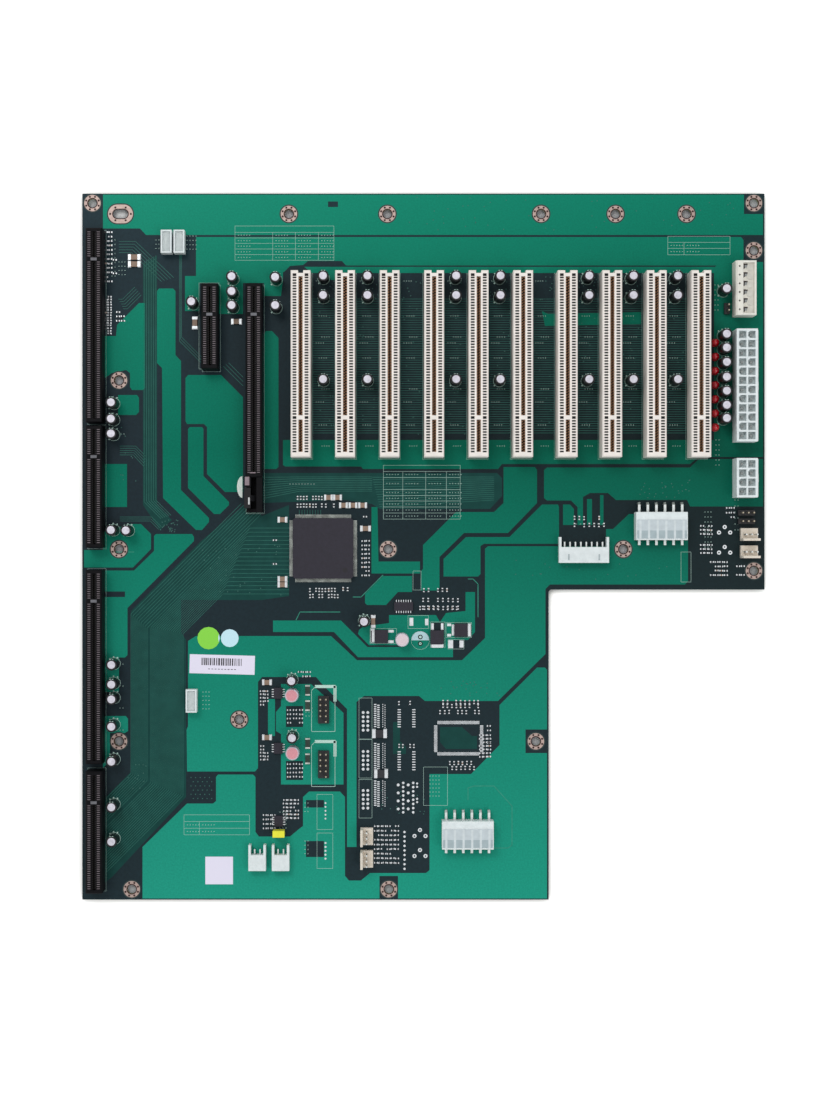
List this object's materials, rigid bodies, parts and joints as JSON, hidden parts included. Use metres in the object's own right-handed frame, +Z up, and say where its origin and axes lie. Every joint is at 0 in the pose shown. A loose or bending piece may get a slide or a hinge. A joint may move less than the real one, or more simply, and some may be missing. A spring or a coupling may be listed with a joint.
{
  "type": "passive backplane",
  "caption": "L-shaped green passive backplane board with ivory and black card slots, white power connectors, small capacitors, pin headers and a row of status lights.",
  "frame": {"origin": "middle of the board's outline rectangle, at the tips of the connector pins below the board", "axes": "+Z up, out of the component side; +Y along the card slots, away from the notch; +X across the row of slots, towards the power connectors"},
  "size_m": [0.316, 0.327, 0.0183],
  "materials": {
    "board_laminate": "green solder mask over glass-epoxy laminate",
    "slot_nylon": "moulded ivory nylon",
    "low_slot_nylon": "moulded black nylon",
    "latch_nylon": "moulded black nylon",
    "connector_nylon": "moulded white nylon",
    "fan_nylon": "moulded cream nylon",
    "tinned_pins": "tin plate",
    "gilt_pins": "thin gold plate",
    "header_plastic": "black glass-filled plastic",
    "cap_plastic": "yellow moulded plastic",
    "chip_epoxy": "black moulded epoxy",
    "fuse_epoxy": "dark glass-epoxy with tinned ends",
    "capacitor_can": "bare aluminium top in a black sleeve",
    "polymer_can": "aluminium can with a pink marking",
    "led_epoxy": "clear red epoxy",
    "label_paper": "matt paper"
  },
  "bodies": {
    "backplane": {"atx_power_connector": "connector_nylon", "atx_power_pins": "tinned_pins", "bridge_chip": "chip_epoxy", "circuit_board": "board_laminate", "cpu_power_connector": "connector_nylon", "cpu_power_pins": "tinned_pins", "east_power_header": "connector_nylon", "east_power_pins": "tinned_pins", "electrolytic_capacitors": "capacitor_can", "fan_header_1": "fan_nylon", "fan_header_2": "fan_nylon", "fan_header_3": "fan_nylon", "fan_header_4": "fan_nylon", "fan_header_pins": "tinned_pins", "header_pins": "gilt_pins", "jumper_cap": "cap_plastic", "jumper_headers": "header_plastic", "panel_header": "connector_nylon", "panel_header_pins": "tinned_pins", "paper_labels": "label_paper", "pci_slot_1": "slot_nylon", "pci_slot_10": "slot_nylon", "pci_slot_2": "slot_nylon", "pci_slot_3": "slot_nylon", "pci_slot_4": "slot_nylon", "pci_slot_5": "slot_nylon", "pci_slot_6": "slot_nylon", "pci_slot_7": "slot_nylon", "pci_slot_8": "slot_nylon", "pci_slot_9": "slot_nylon", "pcie_x16_slot": "low_slot_nylon", "pcie_x4_slot": "low_slot_nylon", "polymer_capacitors": "polymer_can", "power_regulators": "chip_epoxy", "resettable_fuses": "fuse_epoxy", "shb_connector_1": "low_slot_nylon", "shb_connector_2": "low_slot_nylon", "shb_connector_3": "low_slot_nylon", "shb_connector_4": "low_slot_nylon", "signal_header_1": "connector_nylon", "signal_header_2": "connector_nylon", "signal_header_3": "connector_nylon", "signal_header_pins": "tinned_pins", "small_chips": "chip_epoxy", "south_power_header": "connector_nylon", "south_power_pins": "tinned_pins", "status_leds": "led_epoxy", "switch_header_1": "connector_nylon", "switch_header_2": "connector_nylon", "switch_header_pins": "tinned_pins", "upright_power_header": "connector_nylon", "upright_power_pins": "tinned_pins", "usb_header_1": "header_plastic", "usb_header_2": "header_plastic"},
    "latch": {"pcie_x16_latch": "latch_nylon"}
  },
  "joints": [
    {"name": "card_latch", "type": "hinge", "parent": "backplane", "child": "latch", "pos_m": [-0.0804, 0.0223, 0.0057], "axis": [0, -1, 0], "range_deg": [0, 30]}
  ]
}
